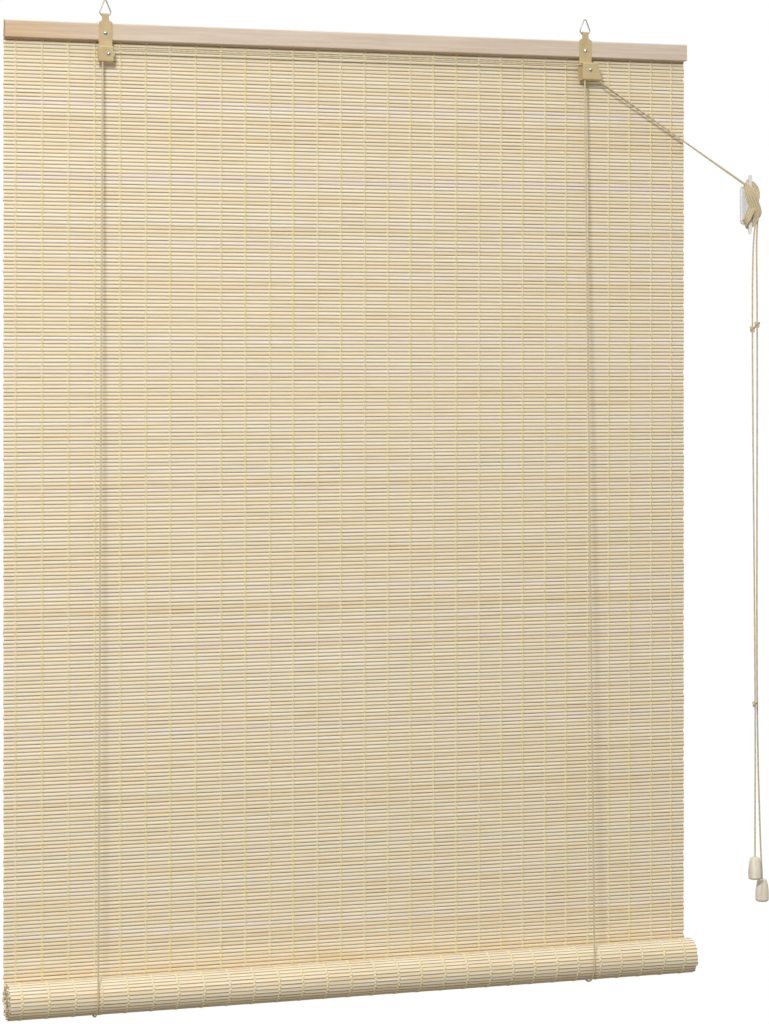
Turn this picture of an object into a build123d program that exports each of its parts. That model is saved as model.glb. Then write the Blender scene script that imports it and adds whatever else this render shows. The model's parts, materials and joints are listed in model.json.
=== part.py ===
from build123d import *
import os
from math import acos, atan2, cos, degrees, hypot, pi, sin, sqrt, tan

# Bamboo roll-up blind, millimetres. +X runs along the head rail, to the right of someone facing the
# blind, +Y points at the wall and +Z is up. The origin is the middle of the line between the two hooks
# that the blind hangs on, where the wire of each hang ring bears.

# Slats: flat bamboo strips, woven edge to edge on warp threads
WIDTH = 1000.0
SLAT_PITCH = 5.07
SLAT_GAP = 0.42
SLAT_THICK = 1.3
SLAT_CHAMFER = 0.35

# Height of the open field, from the underside of the rail to the axis of the roll
OPEN_DROP = 1296.0

# Head rail, a plain wooden batten
RAIL_HEIGHT = 24.0
RAIL_THICK = 12.0
RAIL_ROUND = 1.5

# Where the two brackets sit, from each end of the rail to the middle of the bracket
LEFT_MARGIN = 137.5
RIGHT_MARGIN = 159.5

# Roll at the foot of the blind, and the batten that the inner end of the field is fixed to
ROLL_RADIUS = 26.0
TURN_PITCH = 2.2
BATTEN_WIDTH = 16.0
BATTEN_THICK = 6.0
BATTEN_ROUND = 1.0
BATTEN_CLEAR = 0.3

# Hang rings, bent from wire, and the sheet that curls round each
WIRE = 1.6
RING_BASE_HALF = 6.0
RING_CORNER_HALF = 7.8
RING_CORNER_DROP = 16.0
RING_DROP = 19.8
RING_APEX_BEND = 2.0
RING_CORNER_BEND = 1.6
RING_SPLIT = 0.4
KNUCKLE_CLEAR = 0.4
KNUCKLE_WRAP = 285.0

# Brackets, folded from one strip of sheet
SHEET = 1.2
BEND = 1.0
NECK_WIDTH = 9.4
STRIP_WIDTH = 18.6
NECK_DROP = 27.0
SHOULDER_DROP = 30.0
RAIL_DROP = 30.0
STRIP_BELOW_RAIL = 8.5
CHEEK_GAP = 1.5
LEFT_PLATE = (11.0, 9.6)
LOCK_TOP = (8.0, 14.6)
LOCK_FOOT = (8.8, 21.6)
LOCK_BACK = (11.4, 15.5)

# Cord, and the wheels that it runs over
CORD = 2.4
CORD_CLEAR = 0.1
CORD_JOIN_GAP = 0.1
WHEEL_TRACK = 7.6
WHEEL_FLANGE = 0.65
WHEEL_FLANGE_REACH = 1.0
GROOVE_CLEAR = 0.15
WHEEL_SIDE_CLEAR = 0.2
WHEEL_TOP_CLEAR = 0.7
LEFT_WHEEL_FOOT_CLEAR = 1.2
RIGHT_WHEEL_FOOT_CLEAR = 4.7
HUB_CLEAR = 0.05
LEFT_AXLE_SHIFT = 2.9
RIGHT_AXLE_SHIFT = 3.9

# Rivets and nails
AXLE = 3.0
RIVET_HEAD = 6.0
RIVET_DOME = 1.8
RIVET_TAIL = 5.0
RIVET_TAIL_THICK = 0.8
NAIL = 2.0
NAIL_LENGTH = 9.0
NAIL_DROP = 44.7

# Staples that hold the top of the field and the ends of the cords to the back of the rail
STAPLE_CROWN = 10.0
STAPLE_WIRE = 0.7
STAPLE_LEG = 7.0
STAPLE_COUNT = 11
STAPLE_MARGIN = 20.0
TOP_SLAT_MARGIN = 1.0
STAPLED_SLAT = 1
CORD_STAPLE_SLAT = 3
BACK_CORD_DROP = 43.0

# Where the cords pass round the roll, each from its own end of the slats
LEFT_SLING = 118.5
RIGHT_SLING = 161.5
SLING_CLEAR = 0.3
FRONT_CORD_BELOW = 4.5

# Pull cords: the lip that they leave the right bracket over, from its middle and below its foot
EXIT_REACH = 18.4
EXIT_BELOW = 1.0
EXIT_BEND = 3.6
EXIT_HOLE_CLEAR = 1.1

# Cleat on the wall beside the blind, with the spare cord wound on it. It stands this far from the slats,
# and the cord's places (x, drop) and (x, y, drop) below have x from the middle of the cleat.
CLEAT_ASIDE = 102.0
CLEAT_DROP = 261.0
WALL_Y = 22.0
CLEAT_BASE = (58.0, 14.0, 3.0)
CLEAT_STEM = (44.0, 11.0)
CLEAT_REACH = 20.0
HORN_THICK = 5.0
HORN_TIP_THICK = 3.4
HORN_TIP_LIFT = 2.5
HORN_HALF = 43.0
HORN_WIDTH = 6.5
HORN_TIP_WIDTH = 4.0
SCREW_SPACING = 26.0
SCREW_HOLE = 4.2
SCREW_HEAD = 8.0
SCREW_SINK = 4.0
WINDING_HALF = 39.0
WINDING_WIDTH = 26.0
WINDING_FRONT = -7.0
WINDING_BACK = 15.0
WINDING_ROUND = 3.0
WINDING_CLEAR = 0.3
WINDING_ENTRY = (-9.0, 231.5)
WINDING_ENTRY_FRONT = -0.8
WINDING_ENTRY_GAP = 0.4

# Acorns, turned wooden ends with a stopper knot inside
ACORN_TOP_RADIUS = 6.2
ACORN_RADIUS = 9.75
ACORN_HEIGHT = 32.5
ACORN_WAIST = 10.0
ACORN_BULGE = 0.9
ACORN_FOOT_ROUND = 3.5
ACORN_TOP_ROUND = 1.0
ACORN_BORE_CLEAR = 0.2
ACORN_CAVITY_RADIUS = 4.5
ACORN_CAVITY = 20.0
KNOT_RADIUS = 3.6

# Hanging ends of the pull cords: each a few points (x, y, drop), chosen by eye, from inside the winding
# down to the top of the acorn
LEFT_TAIL = [(4.3, 0.5, 292.0), (1.9, -0.5, 443.0), (7.1, -1.5, 998.0), (6.0, -2.0, 1176.0)]
LEFT_ACORN = (6.0, -2.0, 1216.5)
RIGHT_TAIL = [
    (9.3, 1.5, 284.0), (12.0, 2.0, 430.0), (11.0, 3.5, 998.0), (19.9, 8.0, 1212.0), (22.8, 9.0, 1244.0),
]
RIGHT_ACORN = (22.8, 9.0, 1251.5)

# Places worked out from the values above
WIRE_R = WIRE / 2
CORD_R = CORD / 2
KNUCKLE_R = WIRE_R + KNUCKLE_CLEAR
RAIL_FRONT = -KNUCKLE_R
RAIL_BACK = RAIL_FRONT + RAIL_THICK
FIELD_BACK = RAIL_BACK + SLAT_THICK
SLAT_LEFT = -(LEFT_MARGIN + WIDTH - RIGHT_MARGIN) / 2
BRACKET_LEFT = SLAT_LEFT + LEFT_MARGIN
BRACKET_RIGHT = SLAT_LEFT + WIDTH - RIGHT_MARGIN
MIDDLE = SLAT_LEFT + WIDTH / 2
RAIL_FOOT = -RAIL_DROP - RAIL_HEIGHT
ROLL_Z = RAIL_FOOT - OPEN_DROP
ROLL_Y = FIELD_BACK - ROLL_RADIUS
SHELF_Z = RAIL_FOOT - STRIP_BELOW_RAIL
CHEEK_FRONT = RAIL_FRONT - SHEET
GROOVE_R = CORD_R + GROOVE_CLEAR
WHEEL_WIDTH = 2 * (GROOVE_R + WHEEL_FLANGE)
WHEEL_RIM = WHEEL_TRACK + WHEEL_FLANGE_REACH
WHEEL_STEP = WHEEL_WIDTH + WHEEL_SIDE_CLEAR
REAR_TRACK_Y = CHEEK_FRONT - WHEEL_SIDE_CLEAR - WHEEL_WIDTH / 2
FRONT_TRACK_Y = REAR_TRACK_Y - WHEEL_STEP
AXLE_Z = SHELF_Z - SHEET - WHEEL_TOP_CLEAR - WHEEL_RIM
LEFT_FOOT_Z = AXLE_Z - WHEEL_RIM - LEFT_WHEEL_FOOT_CLEAR - SHEET
RIGHT_FOOT_Z = AXLE_Z - WHEEL_RIM - RIGHT_WHEEL_FOOT_CLEAR - SHEET
EXIT_X = BRACKET_RIGHT + EXIT_REACH
EXIT_Z = RIGHT_FOOT_Z - EXIT_BELOW
FRONT_CORD_TOP_Z = RIGHT_FOOT_Z - FRONT_CORD_BELOW
LEFT_AXLE_X = BRACKET_LEFT + LEFT_AXLE_SHIFT
RIGHT_AXLE_X = BRACKET_RIGHT + RIGHT_AXLE_SHIFT
SLING_RADIUS = ROLL_RADIUS + SLING_CLEAR + CORD_R
CLEAT_X = SLAT_LEFT + WIDTH + CLEAT_ASIDE
CLEAT_Z = -CLEAT_DROP
WINDING_ENTRY_REAR = WINDING_ENTRY_FRONT + CORD + WINDING_ENTRY_GAP


def box_between(x0, x1, y0, y1, z0, z1):
    """A box from its lowest corner to its highest."""
    size = (x1 - x0, y1 - y0, z1 - z0)
    return Pos(x0, y0, z0) * Box(*size, align=(Align.MIN, Align.MIN, Align.MIN))


def along_y(x, z, y0, y1, radius):
    """A round bar along Y."""
    bar = Cylinder(radius, y1 - y0, align=(Align.CENTER, Align.CENTER, Align.MIN))
    return Pos(x, y0, z) * Rot(-90, 0, 0) * bar


def front_view(points, y0, y1):
    """A plate with the outline given as (x, z), from y0 to y1."""
    face = make_face(Polyline(*points, close=True))
    return Pos(0, y1, 0) * extrude(Plane.XZ * face, y1 - y0)


def tube(path):
    """A cord's solid along a path."""
    section = Plane(origin=path @ 0, z_dir=path % 0) * Circle(CORD_R)
    return sweep(section, path=path)


# Slats

def slat_outline():
    """Section of a slat in Y and Z about its middle: flat on the wall side, bevelled on the room side."""
    half, c = (SLAT_PITCH - SLAT_GAP) / 2, SLAT_CHAMFER
    t = SLAT_THICK / 2
    return [(t, -half), (t, half), (-t + c, half), (-t, half - c), (-t, -half + c), (-t + c, -half)]


def slat_total():
    """Whole slats between the level of the roll's axis and the top of the rail."""
    return int((-RAIL_DROP - TOP_SLAT_MARGIN - ROLL_Z) // SLAT_PITCH)


def slat_z(index):
    """Middle height of a slat, counted down from the top one. The last one meets the roll."""
    return ROLL_Z + (slat_total() - index - 0.5) * SLAT_PITCH


def slat(index):
    section = Plane.YZ * make_face(Polyline(*slat_outline(), close=True))
    return Pos(SLAT_LEFT, RAIL_BACK + SLAT_THICK / 2, slat_z(index)) * extrude(section, WIDTH)


def staple(x, z, crown, back):
    """A staple driven towards the room, with its crown along X just behind the given Y."""
    half = crown / 2
    body = box_between(x - half, x + half, back, back + STAPLE_WIRE, z - STAPLE_WIRE / 2, z + STAPLE_WIRE / 2)
    for side in (-1, 1):
        a = x + side * (half - STAPLE_WIRE / 2)
        r = STAPLE_WIRE / 2
        body += box_between(a - r, a + r, back - STAPLE_LEG, back, z - r, z + r)
    return body


def staple_places():
    step = (WIDTH - 2 * STAPLE_MARGIN) / (STAPLE_COUNT - 1)
    return [SLAT_LEFT + STAPLE_MARGIN + step * i for i in range(STAPLE_COUNT)]


def slings():
    """Where each cord passes round the roll."""
    return [SLAT_LEFT + LEFT_SLING, SLAT_LEFT + WIDTH - RIGHT_SLING]


field_staples = [staple(x, slat_z(STAPLED_SLAT), STAPLE_CROWN, FIELD_BACK) for x in staple_places()]
cord_back_y = FIELD_BACK + SLING_CLEAR + CORD_R
cord_staple_crown = CORD + 2 * (CORD_CLEAR + STAPLE_WIRE)
cord_staple_back = cord_back_y + CORD_R + CORD_CLEAR
cord_staples = [staple(x, slat_z(CORD_STAPLE_SLAT), cord_staple_crown, cord_staple_back) for x in slings()]

field = []
for i in range(slat_total()):
    one = slat(i)
    cutters = {STAPLED_SLAT: field_staples, CORD_STAPLE_SLAT: cord_staples}.get(i, [])
    for cutter in cutters:
        one -= cutter
    field.append(one)
behind_rail = sum(slat_z(i) - (SLAT_PITCH - SLAT_GAP) / 2 > RAIL_FOOT for i in range(len(field)))


# Head rail

rail = box_between(SLAT_LEFT, SLAT_LEFT + WIDTH, RAIL_FRONT, RAIL_BACK, RAIL_FOOT, -RAIL_DROP)
rail = fillet(rail.edges().filter_by(Axis.X).group_by(Axis.Y)[0], RAIL_ROUND)
for cutter in field_staples + cord_staples:
    rail -= cutter
for x in (BRACKET_LEFT, BRACKET_RIGHT):
    rail -= along_y(x, -NAIL_DROP, RAIL_FRONT, RAIL_FRONT - SHEET + NAIL_LENGTH, NAIL / 2)


# Roll: the spiral is made of straight slats, laid end to end in section

def batten_corner():
    """Direction of a corner of the batten from its middle, and how far its rounding reaches."""
    across, up = BATTEN_THICK / 2 - BATTEN_ROUND, BATTEN_WIDTH / 2 - BATTEN_ROUND
    return degrees(atan2(up, across)), hypot(across, up) + BATTEN_ROUND


def spiral_turns():
    """Radius and turned angle of each joint between slats, from the outside in to the batten's corner."""
    flat = batten_corner()[1] + BATTEN_CLEAR + SLAT_THICK / 2
    start, end = ROLL_RADIUS - SLAT_THICK / 2, hypot(flat, SLAT_PITCH / 2)
    count = int(pi * (start ** 2 - end ** 2) / TURN_PITCH // SLAT_PITCH)
    radii = [sqrt(start ** 2 - TURN_PITCH * SLAT_PITCH * k / pi) for k in range(count + 1)]
    return [(r, (start - r) * 2 * pi / TURN_PITCH) for r in radii]


def spiral(offset):
    """Points of the rolled slats' section in Y and Z, the given distance outside their middle line."""
    return [
        (ROLL_Y + (r + offset) * cos(turned), ROLL_Z - (r + offset) * sin(turned))
        for r, turned in spiral_turns()
    ]


outline = spiral(SLAT_THICK / 2) + spiral(-SLAT_THICK / 2)[::-1]
roll = Pos(SLAT_LEFT, 0, 0) * extrude(Plane.YZ * make_face(Polyline(*outline, close=True)), WIDTH)

# The batten turns its corner to the middle of the innermost slat, which is fixed to it there
inner = spiral_turns()[-2:]
batten_turn = -degrees(inner[0][1] + inner[1][1]) / 2 - batten_corner()[0]
batten = fillet(Box(WIDTH, BATTEN_THICK, BATTEN_WIDTH).edges().filter_by(Axis.X), BATTEN_ROUND)
batten = Pos(MIDDLE, ROLL_Y, ROLL_Z) * Rot(batten_turn, 0, 0) * batten


# Brackets

def hang_ring(x):
    """A kite of wire, split in the middle of its base, where the knuckle hides the ends."""
    half = RING_SPLIT / 2
    apex = WIRE_R + RING_APEX_BEND * (1 / sin(ring_half_angle()) - 1)
    route = [
        (x + half, 0, -RING_DROP), (x + RING_BASE_HALF, 0, -RING_DROP),
        (x + RING_CORNER_HALF, 0, -RING_CORNER_DROP), (x, 0, apex),
        (x - RING_CORNER_HALF, 0, -RING_CORNER_DROP), (x - RING_BASE_HALF, 0, -RING_DROP),
        (x - half, 0, -RING_DROP),
    ]
    side = RING_CORNER_BEND
    path = FilletPolyline(*route, radius=[side, side, RING_APEX_BEND, side, side])
    return sweep(Plane(origin=path @ 0, z_dir=path % 0) * Circle(WIRE_R), path=path)


def ring_half_angle():
    """Half the angle at the top of a hang ring."""
    return atan2(RING_CORNER_HALF, RING_CORNER_DROP)


def folded_sheet(front_y, low):
    """Section of a bracket in Y and Z: knuckle, strip, shelf, front plate, foot and back cheek."""
    middle = KNUCKLE_R + SHEET / 2
    strip_y, plate_y = -middle, front_y + SHEET / 2
    foot = low + SHEET / 2
    cheek_top = SHELF_Z - SHEET - CHEEK_GAP
    curl = CenterArc((0, -RING_DROP), middle, 180 - KNUCKLE_WRAP, KNUCKLE_WRAP)
    folds = FilletPolyline(
        (strip_y, -RING_DROP), (strip_y, SHELF_Z - SHEET / 2), (plate_y, SHELF_Z - SHEET / 2),
        (plate_y, foot), (strip_y, foot), (strip_y, cheek_top), radius=BEND + SHEET / 2,
    )
    return trace(curl, line_width=SHEET) + trace(folds, line_width=SHEET)


def strip_outline(x):
    """What the front view shows of neck, shoulders and strip, down to the bend below the rail."""
    neck, strip = NECK_WIDTH / 2, STRIP_WIDTH / 2
    top, low = -RING_DROP + KNUCKLE_R + SHEET, SHELF_Z - SHEET - BEND
    return [
        (x - neck, top), (x + neck, top), (x + neck, -NECK_DROP), (x + strip, -SHOULDER_DROP),
        (x + strip, low), (x - strip, low), (x - strip, -SHOULDER_DROP), (x - neck, -NECK_DROP),
    ]


def tapered_outline(x, high, low, top, foot):
    """An outline that reaches to the left and right of x by top at its head and by foot at its base."""
    return [(x - top[0], high), (x + top[1], high), (x + foot[1], low), (x - foot[0], low)]


def bracket(x, front_y, low, top, foot, cheek):
    """A bracket, cut from its folded section by what its strip, its front plate and its back cheek show."""
    bent = Pos(x - STRIP_WIDTH * 2, 0, 0) * extrude(Plane.YZ * folded_sheet(front_y, low), STRIP_WIDTH * 4)
    split, back = CHEEK_FRONT - WHEEL_SIDE_CLEAR, KNUCKLE_R + SHEET
    cheek_top = SHELF_Z - SHEET - CHEEK_GAP
    shown = front_view(strip_outline(x), split, back)
    shown += front_view(tapered_outline(x, cheek_top, low, cheek, cheek), split, back)
    shown += front_view(tapered_outline(x, SHELF_Z, low, top, foot), front_y, split)
    return bent & shown


def cord_hole(x, y, foot_z, width):
    """A round-ended way for a cord through the foot of a bracket."""
    slot = SlotOverall(width, CORD + 2 * SLING_CLEAR)
    return Pos(x, y, foot_z) * extrude(slot, SHEET * 2, both=True)


def dome(radius, height):
    """The rounded head of a rivet or nail, standing on Z = 0."""
    ball = (radius ** 2 + height ** 2) / (2 * height)
    cap = Pos(0, 0, height - ball) * Sphere(ball)
    return cap & Pos(0, 0, height / 2) * Box(2 * ball, 2 * ball, height)


def rivet(x, front_y):
    """Axle rivet: a domed head on the front plate, and its tail spread behind the back cheek."""
    head = Pos(x, front_y, AXLE_Z) * Rot(90, 0, 0) * dome(RIVET_HEAD / 2, RIVET_DOME)
    shank = along_y(x, AXLE_Z, front_y, RAIL_FRONT, AXLE / 2)
    tail = along_y(x, AXLE_Z, RAIL_FRONT, RAIL_FRONT + RIVET_TAIL_THICK, RIVET_TAIL / 2)
    return head + shank + tail


def nail(x):
    """Round-headed nail through the strip into the rail."""
    head = Pos(x, CHEEK_FRONT, -NAIL_DROP) * Rot(90, 0, 0) * dome(RIVET_HEAD / 2, RIVET_DOME)
    return head + along_y(x, -NAIL_DROP, CHEEK_FRONT, CHEEK_FRONT + NAIL_LENGTH, NAIL / 2)


def wheel(x, y):
    """A grooved wheel, free on its rivet."""
    body = Cylinder(WHEEL_RIM, WHEEL_WIDTH) - Cylinder(AXLE / 2 + HUB_CLEAR, WHEEL_WIDTH)
    open_groove = Cylinder(WHEEL_RIM + 1, 2 * GROOVE_R) - Cylinder(WHEEL_TRACK, 2 * GROOVE_R)
    body = body - Torus(WHEEL_TRACK, GROOVE_R) - open_groove
    return Pos(x, y, AXLE_Z) * Rot(90, 0, 0) * body


left_front = REAR_TRACK_Y - WHEEL_WIDTH / 2 - WHEEL_SIDE_CLEAR - SHEET
right_front = left_front - WHEEL_STEP
left_bracket = bracket(BRACKET_LEFT, left_front, LEFT_FOOT_Z, LEFT_PLATE, LEFT_PLATE, LEFT_PLATE)
right_bracket = bracket(BRACKET_RIGHT, right_front, RIGHT_FOOT_Z, LOCK_TOP, LOCK_FOOT, LOCK_BACK)
left_rivet, right_rivet = rivet(LEFT_AXLE_X, left_front), rivet(RIGHT_AXLE_X, right_front)
nails = [nail(BRACKET_LEFT), nail(BRACKET_RIGHT)]

left_bracket -= cord_hole(LEFT_AXLE_X - WHEEL_TRACK, REAR_TRACK_Y, LEFT_FOOT_Z, CORD + 2 * EXIT_BEND)
right_bracket -= cord_hole(RIGHT_AXLE_X - WHEEL_TRACK, FRONT_TRACK_Y, RIGHT_FOOT_Z, CORD + 2 * EXIT_BEND)
for y in (REAR_TRACK_Y, FRONT_TRACK_Y):
    right_bracket -= cord_hole(EXIT_X, y, RIGHT_FOOT_Z, CORD + 2 * EXIT_HOLE_CLEAR)
left_bracket = left_bracket - left_rivet - nails[0]
right_bracket = right_bracket - right_rivet - nails[1]


# Cords that the blind holds all the way

def leaving_angle():
    """How far below level the cords leave the wheel, so that they run straight to the exit lip."""
    dx, dz = EXIT_X - RIGHT_AXLE_X, AXLE_Z - EXIT_Z
    return degrees(atan2(dz, dx) + asin_ratio(WHEEL_TRACK, hypot(dx, dz)))


def asin_ratio(side, whole):
    return pi / 2 - acos(side / whole)


def over_right_wheel(y, entry_y):
    """From the top of the right wheel, round it, down over the lip and tight to the winding on the cleat."""
    a = leaving_angle() * pi / 180
    off = Vector(RIGHT_AXLE_X + WHEEL_TRACK * sin(a), y, AXLE_Z + WHEEL_TRACK * cos(a))
    mid = Vector(RIGHT_AXLE_X + WHEEL_TRACK * sin(a / 2), y, AXLE_Z + WHEEL_TRACK * cos(a / 2))
    lip = Vector(EXIT_X, y, EXIT_Z)
    entry = Vector(CLEAT_X + WINDING_ENTRY[0], entry_y, -WINDING_ENTRY[1])
    arc = ThreePointArc(Vector(RIGHT_AXLE_X, y, AXLE_Z + WHEEL_TRACK), mid, off)
    return [arc, FilletPolyline(off, lip, entry, radius=EXIT_BEND)]


def up_over_wheel(x, y):
    """From below a bracket up to its wheel and over to the top of it."""
    side = Vector(x - WHEEL_TRACK, y, AXLE_Z)
    half = WHEEL_TRACK / sqrt(2)
    arc = ThreePointArc(side, Vector(x - half, y, AXLE_Z + half), Vector(x, y, AXLE_Z + WHEEL_TRACK))
    return [Line(Vector(x - WHEEL_TRACK, y, FRONT_CORD_TOP_Z), side), arc]


def joined(edges):
    return Wire([e for piece in edges for e in piece.edges()])


top_z = AXLE_Z + WHEEL_TRACK
across = Line((LEFT_AXLE_X, REAR_TRACK_Y, top_z), (RIGHT_AXLE_X, REAR_TRACK_Y, top_z))
left_pull = [*up_over_wheel(LEFT_AXLE_X, REAR_TRACK_Y), across]
left_pull = tube(joined(left_pull + over_right_wheel(REAR_TRACK_Y, WINDING_ENTRY_REAR)))
right_pull = up_over_wheel(RIGHT_AXLE_X, FRONT_TRACK_Y)
right_pull = tube(joined(right_pull + over_right_wheel(FRONT_TRACK_Y, WINDING_ENTRY_FRONT)))


def front_run(axle_x, y, sling_x):
    """The stretch in front of the field, from under a bracket to the roll."""
    top = Vector(axle_x - WHEEL_TRACK, y, FRONT_CORD_TOP_Z - CORD_JOIN_GAP)
    low = Vector(sling_x, ROLL_Y - SLING_RADIUS, ROLL_Z + CORD_JOIN_GAP)
    return tube(Line(top, low))


def back_run(sling_x):
    """The stretch behind the field, from its staple on the rail to the roll."""
    return tube(Line((sling_x, cord_back_y, -BACK_CORD_DROP), (sling_x, cord_back_y, ROLL_Z + CORD_JOIN_GAP)))


def sling(sling_x):
    """The stretch under the roll, from its back to its front."""
    half = CenterArc((ROLL_Y, ROLL_Z), SLING_RADIUS, 0, -180)
    return tube(Pos(sling_x, 0, 0) * (Plane.YZ * half))


left_sling_x, right_sling_x = slings()


# Cleat and the spare cord on it

def cleat_shape(grow):
    """Stem and horns, with their sides moved out by grow."""
    stem_half, front = CLEAT_STEM[0] / 2, WALL_Y - CLEAT_REACH
    tip, tip_back = front - HORN_TIP_LIFT, front - HORN_TIP_LIFT + HORN_TIP_THICK
    wall, back = WALL_Y - CLEAT_BASE[2], front + HORN_THICK
    horn = [(front, stem_half), (tip, HORN_HALF), (tip_back, HORN_HALF), (back, stem_half)]
    right = [*horn, (wall, stem_half)]
    left = [(y, -z) for y, z in reversed(right)]
    side = offset(make_face(Polyline(*right, *left, close=True)), grow)
    body = extrude(Plane.YZ * side, CLEAT_STEM[1] / 2 + grow, both=True)
    half, root, end = CLEAT_STEM[1] / 2 + grow, HORN_WIDTH / 2 + grow, HORN_TIP_WIDTH / 2 + grow
    tall, stem = HORN_HALF + grow, stem_half + grow
    shown = [
        (half, -stem), (half, stem), (root, stem), (end, tall), (-end, tall), (-root, stem),
        (-half, stem), (-half, -stem), (-root, -stem), (-end, -tall), (end, -tall), (root, -stem),
    ]
    return body & front_view(shown, -CLEAT_REACH, WALL_Y)


def cleat():
    """Cord cleat: two horns on a stem and an oval foot, with two sunk screw holes."""
    foot = Pos(0, WALL_Y, 0) * extrude(Plane.XZ * Rot(0, 0, 90) * SlotOverall(*CLEAT_BASE[:2]), CLEAT_BASE[2])
    body = cleat_shape(0) + foot
    front = WALL_Y - CLEAT_REACH
    for z in (-SCREW_SPACING / 2, SCREW_SPACING / 2):
        body -= along_y(0, z, front, WALL_Y, SCREW_HOLE / 2)
        body -= along_y(0, z, front, front + SCREW_SINK, SCREW_HEAD / 2)
    return body


def winding(ends):
    """Outer shape of the cord wound in figures of eight on the cleat, open where the cleat and cords pass."""
    outline = Plane.XZ * Ellipse(WINDING_WIDTH / 2, WINDING_HALF)
    body = Pos(0, WINDING_BACK, 0) * extrude(outline, WINDING_BACK - WINDING_FRONT)
    body = fillet(body.edges(), WINDING_ROUND) - cleat_shape(WINDING_CLEAR)
    body = Pos(CLEAT_X, 0, CLEAT_Z) * body
    for end in ends:
        body -= end
    return body


def tail(points, acorn):
    """The hanging stretch from the winding to the knot in an acorn, with bends as wide as its runs allow."""
    route = [Vector(CLEAT_X + x, y, -drop) for x, y, drop in points]
    route.append(Vector(CLEAT_X + acorn[0], acorn[1], -acorn[2] - ACORN_HEIGHT + ACORN_CAVITY))
    radii = []
    for a, b, c in zip(route, route[1:], route[2:]):
        turn = (b - a).get_angle(c - b) * pi / 180
        radii.append(0.45 * min((b - a).length, (c - b).length) / tan(turn / 2))
    print("tail bend radii", [round(r) for r in radii])
    path = FilletPolyline(*route, radius=radii)
    body = tube(path)
    print("tail volume over section times length", round(body.volume / (pi * CORD_R ** 2 * path.length), 4))
    return body


def acorn(place):
    """Turned wooden acorn with bellied sides, bored for the cord and hollow below for its knot."""
    waist = ACORN_WAIST - ACORN_HEIGHT
    belly = ((ACORN_TOP_RADIUS + ACORN_RADIUS) / 2 + ACORN_BULGE, waist / 2)
    side = ThreePointArc((ACORN_TOP_RADIUS, 0), belly, (ACORN_RADIUS, waist))
    foot = -ACORN_HEIGHT
    rest = Polyline((ACORN_RADIUS, waist), (ACORN_RADIUS, foot), (0, foot), (0, 0), (ACORN_TOP_RADIUS, 0))
    section = make_face(side + rest)
    body = revolve(Plane.XZ * section, Axis.Z)
    rims = body.edges().filter_by(GeomType.CIRCLE).sort_by(Axis.Z)
    body = fillet(rims[-1], ACORN_TOP_ROUND)
    body = fillet(body.edges().filter_by(GeomType.CIRCLE).sort_by(Axis.Z)[0], ACORN_FOOT_ROUND)
    body -= Cylinder(CORD_R + ACORN_BORE_CLEAR, 3 * ACORN_HEIGHT)
    cavity = Cylinder(ACORN_CAVITY_RADIUS, ACORN_CAVITY, align=(Align.CENTER, Align.CENTER, Align.MIN))
    body -= Pos(0, 0, -ACORN_HEIGHT) * cavity
    return Pos(CLEAT_X + place[0], place[1], -place[2]) * body


def stopper_knot(place):
    """The knot under the ceiling of an acorn's hollow, flat where the cord meets it."""
    sunk = sqrt(KNOT_RADIUS ** 2 - (CORD_R + ACORN_BORE_CLEAR) ** 2) + CORD_CLEAR
    ball = Pos(0, 0, -sunk) * Sphere(KNOT_RADIUS)
    ball = ball & Pos(0, 0, -KNOT_RADIUS * 2) * Box(*[KNOT_RADIUS * 4] * 3)
    return Pos(CLEAT_X + place[0], place[1], -place[2] - ACORN_HEIGHT + ACORN_CAVITY) * ball


left_tail, right_tail = tail(LEFT_TAIL, LEFT_ACORN), tail(RIGHT_TAIL, RIGHT_ACORN)

parts = {
    "head_rail": rail,
    "top_slats": field[:behind_rail],
    "slat_field": field[behind_rail:],
    "field_staples": field_staples,
    "cord_staples": cord_staples,
    "rolled_slats": roll,
    "bottom_batten": batten,
    "bracket_left": left_bracket,
    "bracket_right": right_bracket,
    "bracket_nails": nails,
    "axle_rivet_left": left_rivet,
    "axle_rivet_right": right_rivet,
    "pulley_left": wheel(LEFT_AXLE_X, REAR_TRACK_Y),
    "pulley_right_rear": wheel(RIGHT_AXLE_X, REAR_TRACK_Y),
    "pulley_right_front": wheel(RIGHT_AXLE_X, FRONT_TRACK_Y),
    "hang_ring_left": hang_ring(BRACKET_LEFT),
    "hang_ring_right": hang_ring(BRACKET_RIGHT),
    "cord_back_left": back_run(left_sling_x),
    "cord_back_right": back_run(right_sling_x),
    "cord_sling_left": sling(left_sling_x),
    "cord_sling_right": sling(right_sling_x),
    "cord_front_left": front_run(LEFT_AXLE_X, REAR_TRACK_Y, left_sling_x),
    "cord_front_right": front_run(RIGHT_AXLE_X, FRONT_TRACK_Y, right_sling_x),
    "pull_cord_left": left_pull,
    "pull_cord_right": right_pull,
    "cord_cleat": Pos(CLEAT_X, 0, CLEAT_Z) * cleat(),
    "cleat_winding": winding([left_pull, right_pull, left_tail, right_tail]),
    "pull_cord_left_tail": left_tail,
    "pull_cord_right_tail": right_tail,
    "acorn_left": acorn(LEFT_ACORN),
    "acorn_right": acorn(RIGHT_ACORN),
    "stopper_knot_left": stopper_knot(LEFT_ACORN),
    "stopper_knot_right": stopper_knot(RIGHT_ACORN),
}

os.makedirs("parts", exist_ok=True)
for name, shape in parts.items():
    solids = [s for piece in (shape if isinstance(shape, list) else [shape]) for s in piece.solids()]
    export_step(solids[0] if len(solids) == 1 else Compound(children=solids), f"parts/{name}.step")
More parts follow.
